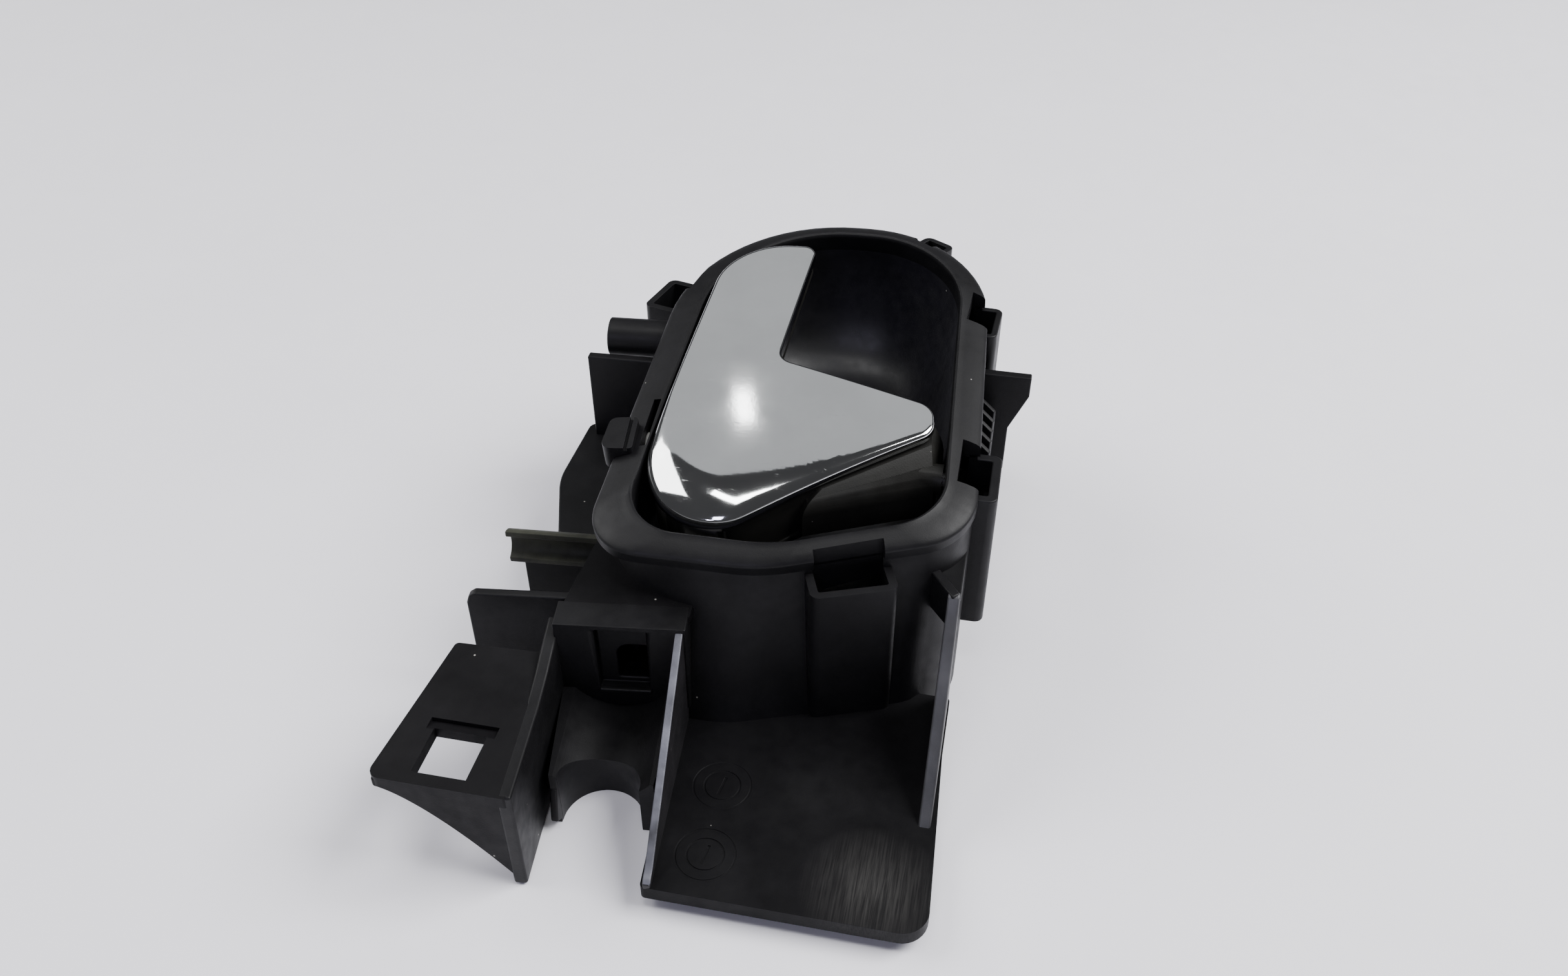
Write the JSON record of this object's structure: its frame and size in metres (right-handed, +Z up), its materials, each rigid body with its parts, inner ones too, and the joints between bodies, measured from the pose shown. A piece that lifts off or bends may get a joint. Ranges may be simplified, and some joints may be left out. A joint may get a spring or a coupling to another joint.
{
  "type": "interior car door handle",
  "caption": "Interior car door handle: black moulded housing with an oval finger bowl, cable channel, slotted bracket, and a sprung L-shaped chromed pull lever.",
  "frame": {"origin": "middle of the bounding box's underside, on the table the part lies on", "axes": "+X along the hinge pin towards the right clip pockets, +Y from the fixing plate to the far end of the oval, +Z up, out of the finger bowl"},
  "size_m": [0.1175, 0.172, 0.0686],
  "materials": {
    "black_plastic": "fine-grained moulded black, satin",
    "chrome_plating": "satin-bright plating with faint streaks",
    "spring_steel": "bare steel",
    "natural_nylon": "natural white nylon",
    "buffer_rubber": "soft black rubber"
  },
  "bodies": {
    "housing": {"base_plate": "black_plastic", "channel_rib": "black_plastic", "side_wall": "black_plastic", "channel_floor": "black_plastic", "channel_wall": "black_plastic", "bracket_plate": "black_plastic", "bracket_web": "black_plastic", "cable_tower": "black_plastic", "rear_flange": "black_plastic", "lower_guide_arm": "black_plastic", "upper_guide_arm": "black_plastic", "arm_web": "black_plastic", "side_plate": "black_plastic", "base_flange": "black_plastic", "front_clip_tower": "black_plastic", "right_clip_tower": "black_plastic", "right_rear_clip_tower": "black_plastic", "far_clip_tower": "black_plastic", "left_rear_clip_tower": "black_plastic", "right_bracket": "black_plastic", "corner_gusset": "black_plastic", "bezel_rim": "black_plastic", "bowl": "black_plastic", "skirt": "black_plastic", "hinge_pin": "spring_steel", "left_pin_bush": "natural_nylon", "right_pin_bush": "natural_nylon", "return_spring": "spring_steel", "rest_buffer": "buffer_rubber", "travel_buffer": "buffer_rubber"},
    "lever": {"lever_cap": "chrome_plating", "lever_carrier": "black_plastic"}
  },
  "joints": [
    {"name": "lever_pull", "type": "hinge", "parent": "housing", "child": "lever", "pos_m": [0.00869, 0.00144, 0.04833], "axis": [1, 0, 0], "range_deg": [0, 35], "stiffness_Nm_per_rad": 0.12, "springref_deg": -17.19}
  ]
}
